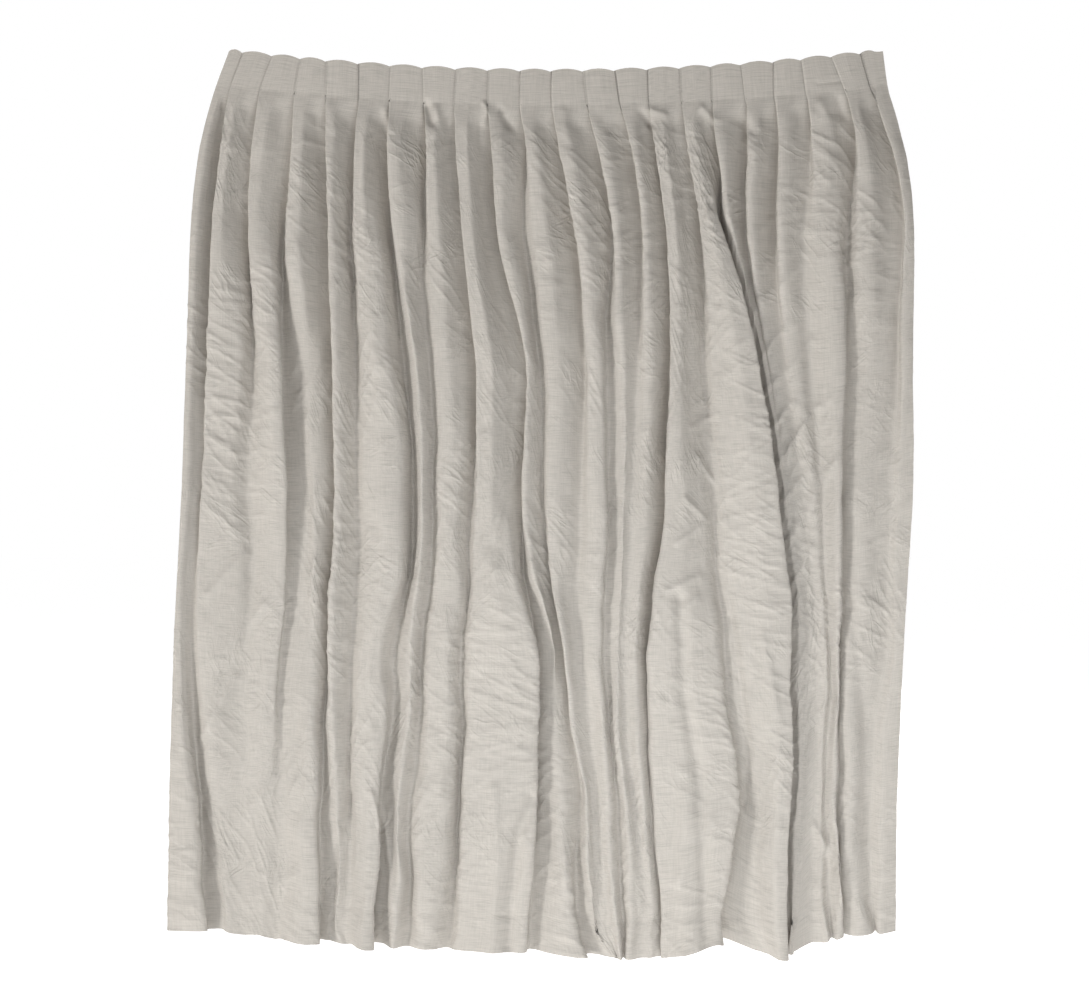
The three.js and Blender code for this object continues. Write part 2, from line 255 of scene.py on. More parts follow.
def shaped_noise(seed, shape, spacing, lengths, angle=0.0):
    """Smooth noise of unit spread. lengths are its sizes in metres along and across `angle`."""
    rng = np.random.default_rng(seed)
    rows, columns = shape
    white = rng.normal(size=(rows * 2, columns * 2))
    fv = np.fft.fftfreq(rows * 2, spacing[0])[:, None]
    fu = np.fft.rfftfreq(columns * 2, spacing[1])[None, :]
    along = fu * math.cos(angle) + fv * math.sin(angle)
    across = -fu * math.sin(angle) + fv * math.cos(angle)
    gain = np.exp(-2 * (math.pi * lengths[0] * along) ** 2 - 2 * (math.pi * lengths[1] * across) ** 2)
    field = np.fft.irfft2(np.fft.rfft2(white) * gain, s=white.shape)[:rows, :columns]
    return (field - field.mean()) / field.std()


def smoothstep(x, low, high):
    """0 up to `low` and 1 from `high` on, with a smooth rise between."""
    t = np.clip((x - low) / (high - low), 0, 1)
    return t * t * (3 - 2 * t)


# ---------------------------------------------------------------- the cloth's middle surface
# U is a place across the flat cloth and D a drop below the top edge, both in metres.
U = np.linspace(0, FLAT_WIDTH, COLUMNS + 1)
D = np.linspace(0, FINISHED_LENGTH, ROWS)
SPACING = (D[1], U[1])


def rise(x):
    """How far the heading's shallow curve lies above its lowest point."""
    return HEADING_DIP * (2 * x / HEADING_WIDTH) ** 2


def below_heading(reach):
    """0 on the heading, rising to 1 at `reach` metres below it; one value per row, as a column."""
    return smoothstep(D, HEADING_DEPTH, HEADING_DEPTH + reach)[:, None]


def down_the_panel(values, heading_value):
    """A fold's value at every row: heading_value to the stitch line, then the listed values."""
    drops = (0.0, HEADING_DEPTH) + DROPS
    return np.interp(D, drops, (heading_value, heading_value) + tuple(values))


def edge_line(values, heading_x):
    """x of a fold's edge at every row, in millimetres, in a smooth curve below the heading."""
    stitch_share, curve = 0.8, 0.07
    at_stitch = heading_x + stitch_share * (values[0] - heading_x)
    line = np.interp(D, (0.0, HEADING_DEPTH) + DROPS, (heading_x, at_stitch) + tuple(values))
    smooth = blur_rows(line, curve / D[1])
    keep = smoothstep(D, 0.03, 0.2)
    return line * (1 - keep) + smooth * keep


def wander(seed, length):
    """Smooth noise of unit spread down the panel, still at the heading; length is in metres."""
    noise = np.random.default_rng(seed).normal(size=(ROWS, 1))
    smooth = blur_rows(noise, length / D[1])[:, 0]
    return smooth / smooth.std() * smoothstep(D, HEADING_DEPTH, HEADING_DEPTH + 0.12)


def fold_controls():
    """The section's control points: their places in pleats, and x and y (rows, points) in mm.

    Each fold has four: the crest of the face before it, its shoulder, its valley and its ridge.
    """
    half = HEADING_WIDTH / 2 / MM
    edge = [edge_line(LEFT_EDGE, -half)]
    edge += [edge_line(f["x"], top) for f, top in zip(FOLDS, HEADING_FOLDS)]
    edge += [edge_line(RIGHT_EDGE, half)]
    stray = WANDER_TOP_MM + (WANDER_FOOT_MM - WANDER_TOP_MM) * smoothstep(D, 0.5, 2.0)
    for k in range(1, PLEATS):
        edge[k] = edge[k] + stray * (0.7 * wander(100 + k, 0.10) + 0.25 * wander(200 + k, 0.03))
    pressed = 1 - below_heading(0.06)[:, 0]
    relief = np.interp(D, RELIEF_DROPS, RELIEF_MM)
    pleat, x, y = [], [], []

    def point(at, px, py):
        pleat.append(at)
        x.append(px)
        y.append(py)

    front_left = -0.2 * relief
    point(0, edge[0], front_left)
    previous = (edge[0], front_left)
    for k, fold in enumerate(FOLDS, start=1):
        e = edge[k]
        lean = blur_rows(down_the_panel(fold["lean"], 1), LEAN_BLUR)
        weight = blur_rows(down_the_panel(fold["relief"], 1), LEAN_BLUR)
        weight = weight * (1 + 0.16 * wander(300 + k, 0.10))
        gap = down_the_panel(fold.get("gap", (GAP_MM,) * len(DROPS)), GAP_MM)
        gap = gap * (1 + 0.18 * wander(400 + k, 0.09))
        face = e - edge[k - 1]
        gap = np.minimum(gap * (1 + SOFT_GAP * np.clip(1 - weight, 0, 1)), 0.6 * face)
        lap = down_the_panel(fold.get("lap", (LAP_MM,) * len(DROPS)), HEADING_LAP_MM)
        right, left = np.maximum(lean, 0), np.maximum(-lean, 0)
        front = -0.5 * relief * weight
        back = 0.5 * relief * weight
        middle = MIDDLE_SHARE * relief * weight
        tuck = HEADING_GROOVE_MM * pressed + TUCK_SHARE * face * (1 - pressed)
        shoulder_x = e - gap * (1 - right - left) - right * tuck
        shoulder_y = front * (1 - right) + (middle * (1 - pressed) + 0.3 * front * pressed) * right
        valley_x = e + lap * right - gap / 2 * (1 - right - left) - lap * left
        ridge_x = e + gap * left
        ridge_y = front * (1 - left) + middle * left
        crest_x = 0.5 * (previous[0] + shoulder_x)
        crest_y = np.minimum(previous[1], shoulder_y) - CREST_SHARE * relief * weight
        point(k - CREST_AT, crest_x, crest_y)
        point(k - SHOULDER_AT, shoulder_x, shoulder_y)
        point(k - VALLEY_AT, valley_x, back)
        point(k, ridge_x, ridge_y)
        previous = (ridge_x, ridge_y)
    point(PLEATS - 0.5, 0.5 * (previous[0] + edge[-1]), previous[1] * 0.9)
    point(PLEATS, edge[-1], -0.1 * relief)
    return np.array(pleat), np.array(x).T, np.array(y).T


def smooth_section(values, sigma):
    """Rounds one row's section; sigma is in columns, and one that is too small does nothing."""
    smallest = 0.3
    if sigma < smallest:
        return values
    reach, weights = gaussian(sigma)
    start = 2 * values[0] - values[reach:0:-1]
    end = 2 * values[-1] - values[-2 : -reach - 2 : -1]
    return np.convolve(np.concatenate([start, values, end]), weights, mode="valid")


def cloth_surface():
    """Points (rows, columns, 3) of the cloth, in metres.

    The columns nearest to the folds' corners, apart from the seams', move onto them in U.
    """
    pleat_at, cx, cy = fold_controls()
    chords = np.hypot(np.diff(cx, axis=1), np.diff(cy, axis=1)).mean(axis=0)
    flat_at = np.concatenate([[0], np.cumsum(chords)]) / chords.sum() * FLAT_WIDTH
    for place in flat_at[1:-1]:
        nearest = int(round(place / SPACING[1]))
        if nearest % (COLUMNS // WIDTHS):
            U[nearest] = place
    pleat = np.interp(U, flat_at, pleat_at)
    rounding = np.interp(D, RELIEF_DROPS, ROUNDING_MM) * MM / SPACING[1]
    x = np.empty((len(D), len(U)))
    y = np.empty_like(x)
    for row in range(len(D)):
        x[row] = smooth_section(np.interp(U, flat_at, cx[row]), rounding[row])
        y[row] = smooth_section(np.interp(U, flat_at, cy[row]), rounding[row])
    z = TOP_Z + rise(x[0] * MM)[None, :] - D[:, None]
    across_face = np.clip(pleat % 1.0 / (1 - SHOULDER_AT), 0, 1)
    peak = PLEAT_PEAK * np.sin(np.pi * across_face) ** 0.8
    z += peak[None, :] * (1 - smoothstep(D, 0.0, 0.06))[:, None]
    sag = np.interp(x[-1], HEM_PLACES_MM, HEM_SAG_MM) * MM
    z -= sag[None, :] * smoothstep(D, 1.5, FINISHED_LENGTH)[:, None]
    return np.stack([x * MM, HEADING_Y + y * MM, z], axis=-1)


def surface_normals(points):
    """Unit normals that point out of the front of the cloth."""
    across = np.gradient(points, axis=1)
    down = np.gradient(points, axis=0)
    normals = np.cross(down, across)
    length = np.linalg.norm(normals, axis=-1, keepdims=True)
    return normals / np.maximum(length, 1e-9)


def cloth_noise(seed, lengths, angle=0.0):
    return shaped_noise(seed, (ROWS, COLUMNS + 1), SPACING, lengths, angle)


def seed_crumples(points):
    """Small swells that give the cloth somewhere to buckle; the stiff heading hardly swells."""
    swells = ((3, 3.0, (0.035, 0.10), 0.1), (5, 0.9, (0.012, 0.05), 0.15),
              (6, 1.0, (0.05, 0.013), 0.75), (7, 0.8, (0.04, 0.010), -0.9))
    height = sum(mm * cloth_noise(seed, lengths, angle) for seed, mm, lengths, angle in swells)
    height *= (0.02 + 0.98 * below_heading(0.10)) * MM
    return points + surface_normals(points) * height[..., None]


def near_segment(x, drop, start, end):
    """Distance from each place to a segment."""
    run = np.subtract(end, start)
    along = ((x - start[0]) * run[0] + (drop - start[1]) * run[1]) / (run @ run)
    held = np.clip(along, 0, 1)
    return np.hypot(x - start[0] - held * run[0], drop - start[1] - held * run[1])


def add_single_creases(points):
    """The listed creases, raised towards the room."""
    x, drop = points[..., 0] / MM, np.repeat(D[:, None] / MM, COLUMNS + 1, axis=1)
    height = np.zeros_like(x)
    for crease in CREASES:
        run = crease["run"]
        reach = np.min([near_segment(x, drop, a, b) for a, b in zip(run, run[1:])], axis=0)
        height += crease["height"] * np.exp(-((reach / crease["width"]) ** 1.6))
    points = points.copy()
    points[..., 1] -= height * MM
    return points


def link_length(points, axis, reach):
    """Distances between points that lie `reach` apart along one axis of the grid."""
    ahead = np.moveaxis(points, axis, 0)
    return np.linalg.norm(ahead[reach:] - ahead[:-reach], axis=-1)


def pull_links(points, free, axis, reach, rest, stiffness):
    """Moves both ends of every link of one kind towards its rest length, a colour at a time."""
    p = np.moveaxis(points, axis, 0)
    f = np.moveaxis(free, axis, 0)
    for start in range(2 * reach):
        a = slice(start, len(p) - reach, 2 * reach)
        b = slice(start + reach, len(p), 2 * reach)
        if len(p[a]) == 0:
            continue
        link = p[b] - p[a]
        length = np.linalg.norm(link, axis=-1)
        share = stiffness * (length - rest[a]) / np.maximum(length, 1e-9)
        total = np.maximum(f[a] + f[b], 1e-9)
        step = link * share[..., None]
        p[a] += step * (f[a] / total)[..., None]
        p[b] -= step * (f[b] / total)[..., None]


def settle_cloth(base):
    """Relaxes the cloth as a net of springs, so that its spare width and length buckle."""
    most_ease, spare_width, spare_length, hold = 1.04, 0.014, 0.004, 0.012
    free = smoothstep(D, HEADING_DEPTH - 0.004, HEADING_DEPTH + 0.03)
    free = np.repeat(free[:, None], COLUMNS + 1, axis=1)
    width = link_length(base, 1, 1).sum(axis=0)
    ease = 1 + (np.clip(width.max() / width, 1, most_ease) - 1) * smoothstep(D, HEADING_DEPTH, 0.35)
    crush = (0.5 + 0.5 * np.clip(cloth_noise(21, (0.16, 0.22)), -1, 2)) * below_heading(0.2)
    links = []
    for axis, reach, stiffness in ((1, 1, 0.9), (0, 1, 0.9), (1, 3, 0.12), (0, 3, 0.12)):
        rest = link_length(base, axis, reach)
        spare = (1 + spare_width * crush) * ease[:, None] if axis else 1 + spare_length * crush
        if reach == 1:
            rest = rest * np.moveaxis(spare, axis, 0)[: len(rest)]
        links.append((axis, reach, rest, stiffness))
    points = seed_crumples(base)
    for _ in range(SETTLE_STEPS):
        for axis, reach, rest, stiffness in links:
            pull_links(points, free, axis, reach, rest, stiffness)
        points += (base - points) * (hold * free)[..., None]
    for axis in (0, 1):
        near = np.moveaxis(points, axis, 0)
        inner = 0.25 * near[:-2] + 0.5 * near[1:-1] + 0.25 * near[2:]
        loose = np.moveaxis(free, axis, 0)[1:-1, :, None]
        near[1:-1] += (inner - near[1:-1]) * loose
    return points


def stitched_lines():
    """How far the hems' and the heading's stitches pull the cloth in, in millimetres."""
    across, drop = np.meshgrid(U, D)
    from_side = np.minimum(across, FLAT_WIDTH - across)

    def groove(distance, breadth):
        return np.exp(-((distance / breadth) ** 2))

    hem = groove(drop - FINISHED_LENGTH + HEM_DEPTH, 0.005)
    heading = groove(drop - HEADING_DEPTH, 0.004)
    side = groove(from_side - SIDE_HEM_WIDTH, 0.005)
    side *= (drop > HEADING_DEPTH) & (drop < FINISHED_LENGTH - HEM_DEPTH)
    pucker = 1 + 0.35 * cloth_noise(31, (0.010, 0.02))
    return -STITCH_PULL_MM * np.maximum.reduce([hem, HEADING_PULL * heading, side]) * pucker


def add_creases(points):
    """Sharp short creases, as linen keeps after it has been folded, and the pull of the stitches."""
    crease_mm, sharpness, background = 2.1, 2.4, 0.35
    height = np.zeros((ROWS, COLUMNS + 1))
    for seed, angle in ((11, 0.5), (12, -0.6), (13, 1.0), (14, 0.1), (15, -1.1)):
        crease = cloth_noise(seed, (0.040, 0.009), angle)
        patch = np.clip(cloth_noise(seed + 40, (0.07, 0.10)) - 0.25, 0, 1.5)
        height += crease_mm * patch * (np.exp(-np.abs(crease) * sharpness) - background)
    height = (height * below_heading(0.12) + stitched_lines()) * MM
    return points + surface_normals(points) * height[..., None]


# ---------------------------------------------------------------- meshes from the surface
def grid_object(name, points, normals, uv, material, thickness):
    """A closed sheet: a grid of points, and the same grid moved back by the thickness.

    The shading normals are the whole cloth's, so pieces that meet at a seam shade alike.
    The UV map holds each point's place on the flat cloth, in metres.
    """
    rows, columns = points.shape[:2]
    count = rows * columns
    index = np.arange(count).reshape(rows, columns)

    def quads(a, b, c, d):
        return np.stack([a, b, c, d], axis=-1).reshape(-1, 4)

    face = quads(index[:-1, :-1], index[1:, :-1], index[1:, 1:], index[:-1, 1:])
    rims = []
    for edge in (index[0], index[:, -1], index[-1, ::-1], index[::-1, 0]):
        rims.append(quads(edge[:-1], edge[1:], edge[1:] + count, edge[:-1] + count))
    faces = np.concatenate([face, face[:, ::-1] + count] + rims)
    verts = np.concatenate([points.reshape(-1, 3), (points - normals * thickness).reshape(-1, 3)])
    place = np.concatenate([uv.reshape(-1, 2)] * 2)
    mesh = bpy.data.meshes.new(name)
    mesh.vertices.add(len(verts))
    mesh.vertices.foreach_set("co", verts.reshape(-1))
    mesh.loops.add(faces.size)
    mesh.loops.foreach_set("vertex_index", faces.reshape(-1))
    mesh.polygons.add(len(faces))
    mesh.polygons.foreach_set("loop_start", np.arange(0, faces.size, 4))
    mesh.polygons.foreach_set("use_smooth", np.ones(len(faces), bool))
    mesh.update(calc_edges=True)
    layer = mesh.uv_layers.new(name="cloth")
    layer.data.foreach_set("uv", place[faces.reshape(-1)].reshape(-1))
    shading = np.concatenate([normals.reshape(-1, 3), -normals.reshape(-1, 3)])
    mesh.normals_split_custom_set_from_vertices(shading)
    mesh.materials.append(material)
    piece = bpy.data.objects.new(name, mesh)
    bpy.context.scene.collection.objects.link(piece)
    return piece


def apply_modifiers(piece):
    """Makes the piece's modifiers part of its mesh."""
    bpy.context.view_layer.objects.active = piece
    for modifier in list(piece.modifiers):
        with bpy.context.temp_override(object=piece, active_object=piece):
            bpy.ops.object.modifier_apply(modifier=modifier.name)


def columns_between(low, high):
    return (U >= low - 1e-9) & (U <= high + 1e-9)


def rows_between(low, high):
    return (D >= low - 1e-9) & (D <= high + 1e-9)


# ---------------------------------------------------------------- materials
def principled(name):
    material = bpy.data.materials.new(name)
    material.use_nodes = True
    return material, material.node_tree, material.node_tree.nodes["Principled BSDF"]


class Shading:
    """Adds texture nodes to one material, all of them on the flat cloth in metres."""

    def __init__(self, tree):
        self.nodes, self.link = tree.nodes, tree.links.new
        uv = self.nodes.new("ShaderNodeUVMap")
        uv.uv_map = "cloth"
        self.place = uv.outputs["UV"]

    def moved(self, vector, **values):
        """The vector after one mapping; each value sets the input of that name."""
        mapping = self.nodes.new("ShaderNodeMapping")
        self.link(vector, mapping.inputs["Vector"])
        for name, value in values.items():
            mapping.inputs[name].default_value = value
        return mapping.outputs["Vector"]

    def noise(self, vector, **values):
        texture = self.nodes.new("ShaderNodeTexNoise")
        self.link(vector, texture.inputs["Vector"])
        for name, value in values.items():
            texture.inputs[name].default_value = value
        return texture.outputs["Fac"]

    def thread(self, scale_u, scale_v, detail):
        """Noise stretched along the weft or the warp."""
        stretched = self.moved(self.place, Scale=(scale_u, scale_v, 1))
        return self.noise(stretched, Scale=1, Detail=detail, Roughness=0.6)

    def ramp(self, value, stops):
        node = self.nodes.new("ShaderNodeValToRGB")
        ends = node.color_ramp.elements
        for end, (position, shade) in zip((ends[0], ends[1]), (stops[0], stops[-1])):
            end.position = position
            end.color = (*shade, 1)
        for position, shade in stops[1:-1]:
            ends.new(position).color = (*shade, 1)
        self.link(value, node.inputs["Fac"])
        return node.outputs["Color"]

    def multiply(self, a, b, factor):
        """Colour a, darkened or lightened by colour b."""
        node = self.nodes.new("ShaderNodeMix")
        node.data_type = "RGBA"
        node.blend_type = "MULTIPLY"
        node.inputs["Factor"].default_value = factor
        self.link(a, node.inputs["A"])
        self.link(b, node.inputs["B"])
        return node.outputs["Result"]

    def maths(self, operation, a, b=0):
        node = self.nodes.new("ShaderNodeMath")
        node.operation = operation
        for socket, value in zip(node.inputs, (a, b)):
            if isinstance(value, (int, float)):
                socket.default_value = value
            else:
                self.link(value, socket)
        return node.outputs[0]

    def bump(self, height, strength, distance, normal=None):
        node = self.nodes.new("ShaderNodeBump")
        node.inputs["Strength"].default_value = strength
        node.inputs["Distance"].default_value = distance
        self.link(height, node.inputs["Height"])
        if normal:
            self.link(normal, node.inputs["Normal"])
        return node.outputs["Normal"]


def woven_colour(shading, colour, weft, warp):
    """Threads a little lighter and darker, and a few brown flecks."""
    def grey(value):
        return (value, value, value)

    fleck = shading.thread(140, 620, 2)
    cloud = shading.thread(3.0, 2.2, 3)
    base = shading.ramp(cloud, [(0.3, colour), (0.7, tuple(c * 1.06 for c in colour))])
    weft_shade = shading.ramp(weft, [(0.28, grey(0.80)), (0.5, grey(1.0)), (0.75, grey(1.10))])
    warp_shade = shading.ramp(warp, [(0.3, grey(0.90)), (0.7, grey(1.05))])
    fleck_shade = shading.ramp(fleck, [(0.0, grey(1)), (0.70, grey(1)), (0.78, (0.62, 0.57, 0.5))])
    base = shading.multiply(base, weft_shade, 1.0)
    base = shading.multiply(base, warp_shade, 0.8)
    return shading.multiply(base, fleck_shade, 0.9)


def crease_ridges(shading, angle, along, across, offset):
    """Sharp ridges that run at an angle across the cloth, in patches; along and across in metres."""
    sharpness, patch_scale, patch_level, patch_gain = 5.0, 7, 0.50, 4.0
    turned = shading.moved(shading.place, Rotation=(0, 0, angle))
    stretched = shading.moved(turned, Location=(offset, 0, 0), Scale=(1 / along, 1 / across, 1))
    lines = shading.noise(stretched, Scale=1, Detail=2, Distortion=0.4)
    off_line = shading.maths("ABSOLUTE", shading.maths("SUBTRACT", lines, 0.5))
    held = shading.maths("MINIMUM", shading.maths("MULTIPLY", off_line, sharpness), 1.0)
    ridge = shading.maths("POWER", shading.maths("SUBTRACT", 1.0, held), 2.0)
    elsewhere = shading.moved(shading.place, Location=(offset, offset, 0))
    patch = shading.noise(elsewhere, Scale=patch_scale, Detail=1)
    above = shading.maths("MULTIPLY", shading.maths("SUBTRACT", patch, patch_level), patch_gain)
    where = shading.maths("MAXIMUM", above, 0.0)
    return shading.maths("MULTIPLY", ridge, shading.maths("MINIMUM", where, 1.0))


def off_the_heading(shading, value):
    """The value, faded out towards the stiff heading."""
    drop = shading.nodes.new("ShaderNodeSeparateXYZ")
    shading.link(shading.place, drop.inputs["Vector"])
    below = shading.nodes.new("ShaderNodeMapRange")
    below.inputs["From Min"].default_value = -HEADING_DEPTH - 0.12
    below.inputs["From Max"].default_value = -HEADING_DEPTH
    below.inputs["To Min"].default_value = 1
    below.inputs["To Max"].default_value = 0
    shading.link(drop.outputs["Y"], below.inputs["Value"])
    return shading.maths("MULTIPLY", value, below.outputs["Result"])


def linen_material(name, colour, crumple_depth=0.0):
    material, tree, shader = principled(name)
    shading = Shading(tree)
    weft = shading.thread(22, 420, 3)
    warp = shading.thread(420, 16, 3)
    shading.link(woven_colour(shading, colour, weft, warp), shader.inputs["Base Color"])
    creases = crease_ridges(shading, 0.7, 0.10, 0.036, 3.0)
    for angle, along, across, offset in ((-0.8, 0.09, 0.032, 11.0), (1.15, 0.08, 0.028, 23.0)):
        more = crease_ridges(shading, angle, along, across, offset)
        creases = shading.maths("ADD", creases, more)
    crumpled = shading.bump(off_the_heading(shading, creases), 1.0, crumple_depth)
    threads = shading.maths("ADD", weft, shading.maths("MULTIPLY", warp, 0.7))
    shading.link(shading.bump(threads, 0.5, 0.0012, crumpled), shader.inputs["Normal"])
    shader.inputs["Roughness"].default_value = 0.93
    shader.inputs["Sheen Weight"].default_value = 0.12
    shader.inputs["Sheen Roughness"].default_value = 0.6
    shader.inputs["Specular IOR Level"].default_value = 0.2
    return material


def nylon_material():
    material, tree, shader = principled("hook_nylon")
    noise = tree.nodes.new("ShaderNodeTexNoise")
    noise.inputs["Scale"].default_value = 900
    bump = tree.nodes.new("ShaderNodeBump")
    bump.inputs["Strength"].default_value = 0.15
    bump.inputs["Distance"].default_value = 0.0003
    tree.links.new(noise.outputs["Fac"], bump.inputs["Height"])
    tree.links.new(bump.outputs["Normal"], shader.inputs["Normal"])
    shader.inputs["Base Color"].default_value = (0.82, 0.81, 0.77, 1)
    shader.inputs["Roughness"].default_value = 0.42
    return material


LINEN = linen_material("linen", (0.470, 0.436, 0.392), crumple_depth=0.0019)
PLAIN = linen_material("plain_cloth", (0.64, 0.62, 0.58))
NYLON = nylon_material()
LABEL = linen_material("label_satin", (0.86, 0.85, 0.82))


# ---------------------------------------------------------------- pieces
HOOKS = 12
HEM_TOP = FINISHED_LENGTH - HEM_DEPTH
BAND_COLUMNS, BAND_ROWS = 1200, 16


def settle(piece, node):
    """A sewn piece: it hangs from the panel and gathers as the curtain is drawn."""
    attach(piece, BODY)
    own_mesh(piece)
    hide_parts(node)


def behind(points, distance):
    """The surface moved back from the face of the cloth, and its normals."""
    normals = surface_normals(points)
    distance = np.broadcast_to(distance, points.shape[:2])
    return points - normals * distance[..., None], normals


def uv_of(rows, columns):
    """Places on the flat cloth, in metres: across, and up from the top edge."""
    return np.stack(np.meshgrid(U[columns], -D[rows]), axis=-1)


def add_linen(name, node, points, rows, columns, distance):
    """One layer of linen, at a distance behind the face of the cloth."""
    grid, normals = behind(points, distance)
    pick = np.ix_(rows, columns)
    piece = grid_object(name, grid[pick], normals[pick], uv_of(rows, columns), LINEN, CLOTH)
    settle(piece, node)


def add_widths(points):
    """The three widths, each with its own length of the bottom hem's turning."""
    cut = FLAT_WIDTH / WIDTHS
    room = 0.0012  # the hem's turning stands off the cloth, round the weights
    all_rows = rows_between(0, FINISHED_LENGTH)
    hem_rows = rows_between(HEM_TOP, FINISHED_LENGTH)
    inside_hem = smoothstep(D, HEM_TOP, FINISHED_LENGTH - 0.8 * HEM_DEPTH)
    inside_hem *= 1 - smoothstep(D, FINISHED_LENGTH - 0.1 * HEM_DEPTH, FINISHED_LENGTH)
    hem_distance = (CLOTH + LAYER_GAP + room * inside_hem)[:, None]
    for i, name in enumerate(("left", "centre", "right")):
        columns = columns_between(i * cut, (i + 1) * cut)
        add_linen(f"width_{name}_cloth", f"width_{name}", points, all_rows, columns,
                  0)
        add_linen(f"bottom_hem_{name}_turning", f"bottom_hem_{name}", points, hem_rows, columns,
                  hem_distance)


def add_side_hems(points):
    rows = rows_between(HEADING_DEPTH, HEM_TOP)
    ends = (("left", 0, SIDE_HEM_WIDTH), ("right", FLAT_WIDTH - SIDE_HEM_WIDTH, FLAT_WIDTH))
    for name, low, high in ends:
        columns = columns_between(low, high)
        add_linen(f"side_hem_{name}_turning", f"side_hem_{name}", points, rows, columns,
                  CLOTH + 0.0004)


def flat_band(name, node, low_x, high_x, top, foot, y_of, material, thickness):
    """A band behind the pleats that follows the heading's shallow curve and no folds."""
    across = np.linspace(low_x, high_x, BAND_COLUMNS)
    x, drop = np.meshgrid(across, np.linspace(top, foot, BAND_ROWS))
    grid = np.stack([x, y_of(x, drop), TOP_Z + rise(x) - drop], axis=-1)
    uv = np.stack([x, -drop], axis=-1)
    piece = grid_object(name, grid, surface_normals(grid), uv, material, thickness)
    settle(piece, node)


def add_stiffener():
    """A stiff band just in front of the tape, a little smaller than the heading."""
    low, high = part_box("heading_tape")
    side_inset, top_inset, foot_inset, ahead, thickness = 0.002, 0.006, 0.004, 0.0012, 0.0006

    def flat(x, drop):
        return np.full_like(x, low[1] - ahead)

    flat_band("heading_stiffener_band", "heading_stiffener", low[0] + side_inset,
              high[0] - side_inset, top_inset, HEADING_DEPTH - foot_inset, flat, PLAIN,
              thickness)


def add_tape():
    """A flat woven band with a row of raised hook pockets."""
    low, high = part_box("heading_tape")
    inset, thickness = 0.010, 0.0008
    pocket_pitch, pocket_height, pocket_top, pocket_foot, edge = 0.0135, 0.0005, 0.034, 0.071, 0.003

    def pocketed(x, drop):
        band = smoothstep(drop, pocket_top, pocket_top + edge)
        band *= 1 - smoothstep(drop, pocket_foot - edge, pocket_foot)
        pocket = np.abs(np.sin(np.pi * x / pocket_pitch)) ** 0.7
        return low[1] + LAYER_GAP + pocket_height * pocket * band

    flat_band("heading_tape_band", "heading_tape", low[0], high[0], inset, HEADING_DEPTH - inset,
              pocketed, PLAIN, thickness)


def arc_points(centre, radius, start, end, steps=6):
    """Points along an arc, from one angle to another."""
    turn = np.linspace(start, end, steps)
    return [(centre[0] + radius * math.cos(t), centre[1] + radius * math.sin(t)) for t in turn]


def hook_outline(mouth, wire, shank, back):
    """Seen from the side, in y and z, round the seat at the origin."""
    inner, outer = mouth / 2, mouth / 2 + wire
    point_length = 0.004
    outline = [(-inner, 0), (-inner, -shank), (-outer, -shank - point_length)]
    outline += arc_points((-inner, 0), wire, math.pi, math.pi / 2)
    outline += arc_points((inner, 0), wire, math.pi / 2, 0)
    return outline + [(outer, -back), (inner, -back), (inner, 0)]


def extrude_sideways(name, outline, centre_x, seat_z, half):
    """A closed solid of the outline, drawn out along x to both sides of its centre."""
    mesh = bpy.data.meshes.new(name)
    shape = bmesh.new()
    sides = []
    for side in (-half, half):
        sides.append([shape.verts.new((centre_x + side, y, seat_z + z)) for y, z in outline])
    shape.faces.new(sides[0])
    shape.faces.new(sides[1][::-1])
    for k in range(len(outline)):
        n = (k + 1) % len(outline)
        shape.faces.new((sides[0][n], sides[0][k], sides[1][k], sides[1][n]))
    bmesh.ops.recalc_face_normals(shape, faces=shape.faces)
    shape.to_mesh(mesh)
    shape.free()
    piece = bpy.data.objects.new(name, mesh)
    bpy.context.scene.collection.objects.link(piece)
    return piece


def add_hooks():
    """The first hook stays put, the last one leads, and each of the others has its own body."""
    wire = 0.0025
    outline = hook_outline(mouth=0.008, wire=wire, shank=0.045, back=0.012)
    ends = {1: BODY, HOOKS: "leading_hook"}
    for number in range(1, HOOKS + 1):
        node = f"hook_{number:02d}"
        low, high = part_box(node)
        centre_x, half = (low[0] + high[0]) / 2, (high[0] - low[0]) / 2
        piece = extrude_sideways(node + "_nylon", outline, centre_x, high[2] - wire, half)
        piece.data.materials.append(NYLON)
        bevel = piece.modifiers.new("edges", "BEVEL")
        bevel.width = 0.0006
        bevel.segments = 2
        apply_modifiers(piece)
        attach(piece, ends.get(number, node + "_body"))
        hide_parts(node)


def add_weights(points):
    """Narrow covered weights in the bottom hem, each near its CAD place where the cloth is flat.

    A weight slides as one piece while the cloth gathers, so it stays inside the hem only close
    to the place it was modelled at.
    """
    reach, narrowed, height, above_foot, thickness = 0.012, 0.6, 0.040, 0.020, 0.0008
    rows = rows_between(FINISHED_LENGTH - above_foot - height, FINISHED_LENGTH - above_foot)
    band = points[rows]
    centre_x = band[..., 0].mean(axis=0)
    grid, normals = behind(points, CLOTH + LAYER_GAP)
    for name in ("left", "seam_left", "seam_right", "right"):
        node = f"hem_weight_{name}"
        low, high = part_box(node)
        off = np.abs(0.5 * (centre_x[1:] + centre_x[:-1]) - 0.5 * (low[0] + high[0]))
        choices = [c for c in np.flatnonzero(off < reach) if 3 < c < COLUMNS - 4]
        cost = [np.ptp(band[:, c - 1 : c + 3, 1], axis=1).max() + 0.5 * off[c] for c in choices]
        first = choices[int(np.argmin(cost))]
        columns = np.isin(np.arange(COLUMNS + 1), (first, first + 1))
        pick = np.ix_(rows, columns)
        strip = grid[pick]
        middle = strip.mean(axis=1, keepdims=True)
        strip = middle + narrowed * (strip - middle)
        uv = uv_of(rows, columns)
        piece = grid_object(node + "_cover", strip, normals[pick], uv, LINEN, thickness)
        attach(piece, node + "_body")
        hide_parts(node)


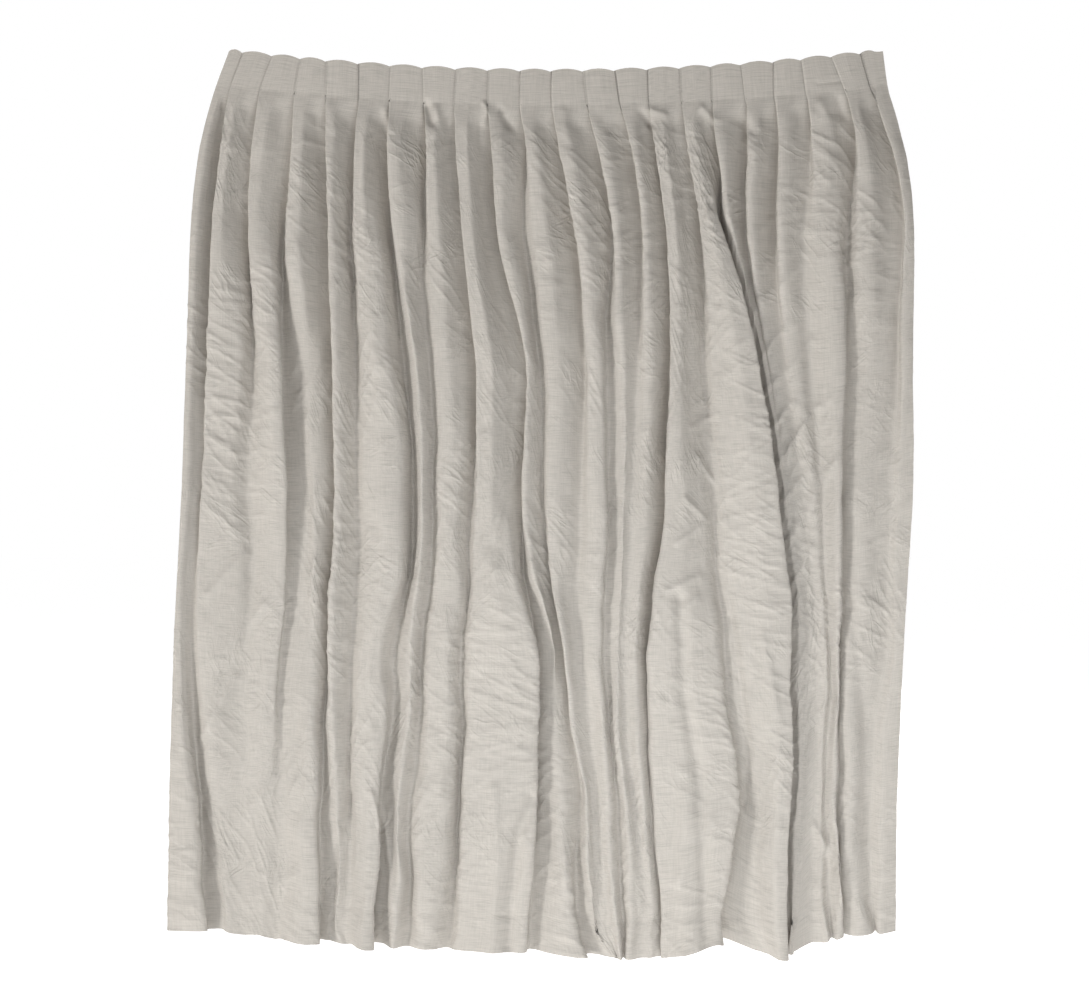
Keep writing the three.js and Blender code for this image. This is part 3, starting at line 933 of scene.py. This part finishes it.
def add_label(points):
    """A plain ribbon on the back of the left side hem."""
    from_edge, above_foot, thickness = 0.010, 0.26, 0.0003
    width, length, seam = 0.032, 0.062, 0.002  # the seam is sewn in and doesn't show
    foot = FINISHED_LENGTH - above_foot
    columns = columns_between(from_edge, from_edge + width - seam)
    rows = rows_between(foot - length + seam, foot)
    grid, normals = behind(points, 2 * CLOTH + 0.0012)
    pick = np.ix_(rows, columns)
    uv = uv_of(rows, columns)
    piece = grid_object("care_label_ribbon", grid[pick], normals[pick], uv, LABEL, thickness)
    settle(piece, "care_label")


surface = add_single_creases(cloth_surface())
surface = settle_cloth(surface)
surface = add_creases(surface)
add_widths(surface)
add_side_hems(surface)
add_stiffener()
add_tape()
add_hooks()
add_weights(surface)
add_label(surface)


# ---------------------------------------------------------------- floor, light and camera
FLOOR_DROP = 0.06  # the floor lies this far under the CAD model
FLOOR_SIZE = 60


def add_floor():
    """A pale floor that is lit from within a little, so that it reads as a white studio sweep."""
    bpy.ops.mesh.primitive_plane_add(size=FLOOR_SIZE, location=(0, 0, CAD_BOX[0][2] - FLOOR_DROP))
    floor = bpy.context.object
    floor.name = "floor"
    material, _, shader = principled("floor_white")
    shader.inputs["Base Color"].default_value = (0.8, 0.8, 0.8, 1)
    shader.inputs["Roughness"].default_value = 0.9
    shader.inputs["Emission Color"].default_value = (1, 1, 1, 1)
    shader.inputs["Emission Strength"].default_value = 0.95
    floor.data.materials.append(material)


def add_light(name, location, target, size, power, colour=(1, 1, 1)):
    """An area light that lights the cloth and isn't seen itself."""
    data = bpy.data.lights.new(name, "AREA")
    data.shape = "RECTANGLE"
    data.size, data.size_y = size
    data.energy = power
    data.color = colour
    light = bpy.data.objects.new(name, data)
    bpy.context.scene.collection.objects.link(light)
    light.visible_camera = False
    light.location = location
    light.rotation_euler = (Vector(target) - Vector(location)).to_track_quat("-Z", "Y").to_euler()


def add_world():
    """White to the camera, and a faint light to everything else."""
    world = bpy.data.worlds.new("studio")
    bpy.context.scene.world = world
    world.use_nodes = True
    nodes, link = world.node_tree.nodes, world.node_tree.links.new
    ambient = nodes["Background"]
    ambient.inputs["Color"].default_value = (1, 0.99, 0.98, 1)
    ambient.inputs["Strength"].default_value = 0.06
    seen = nodes.new("ShaderNodeBackground")
    seen.inputs["Color"].default_value = (1, 1, 1, 1)
    path = nodes.new("ShaderNodeLightPath")
    mix = nodes.new("ShaderNodeMixShader")
    link(path.outputs["Is Camera Ray"], mix.inputs["Fac"])
    link(ambient.outputs["Background"], mix.inputs[1])
    link(seen.outputs["Background"], mix.inputs[2])
    link(mix.outputs["Shader"], nodes["World Output"].inputs["Surface"])


def add_camera():
    """Straight on to the front, a little left of the middle."""
    data = bpy.data.cameras.new("camera")
    data.lens = 50
    data.sensor_width = 36
    camera = bpy.data.objects.new("camera", data)
    bpy.context.scene.collection.objects.link(camera)
    camera.location = (-0.0316, -4.16, -1.134)
    camera.rotation_euler = (math.pi / 2, 0, 0)
    bpy.context.scene.camera = camera


add_floor()
add_world()
add_light("key", (-7.0, -4.6, -1.7), (0, 0, -1.3), (1.5, 1.8), 342)
add_light("low", (0.3, -2.2, -2.25), (0.2, 0, -2.2), (2.6, 0.25), 26, (0.90, 0.95, 1))
add_light("right", (3.6, -4.6, -1.9), (0.6, 0, -1.6), (1.6, 1.6), 27)
add_light("back", (4.5, 5.0, -0.6), (0, 0, -1.2), (2.5, 2.5), 300)
add_camera()
bpy.context.scene.view_settings.view_transform = "Standard"
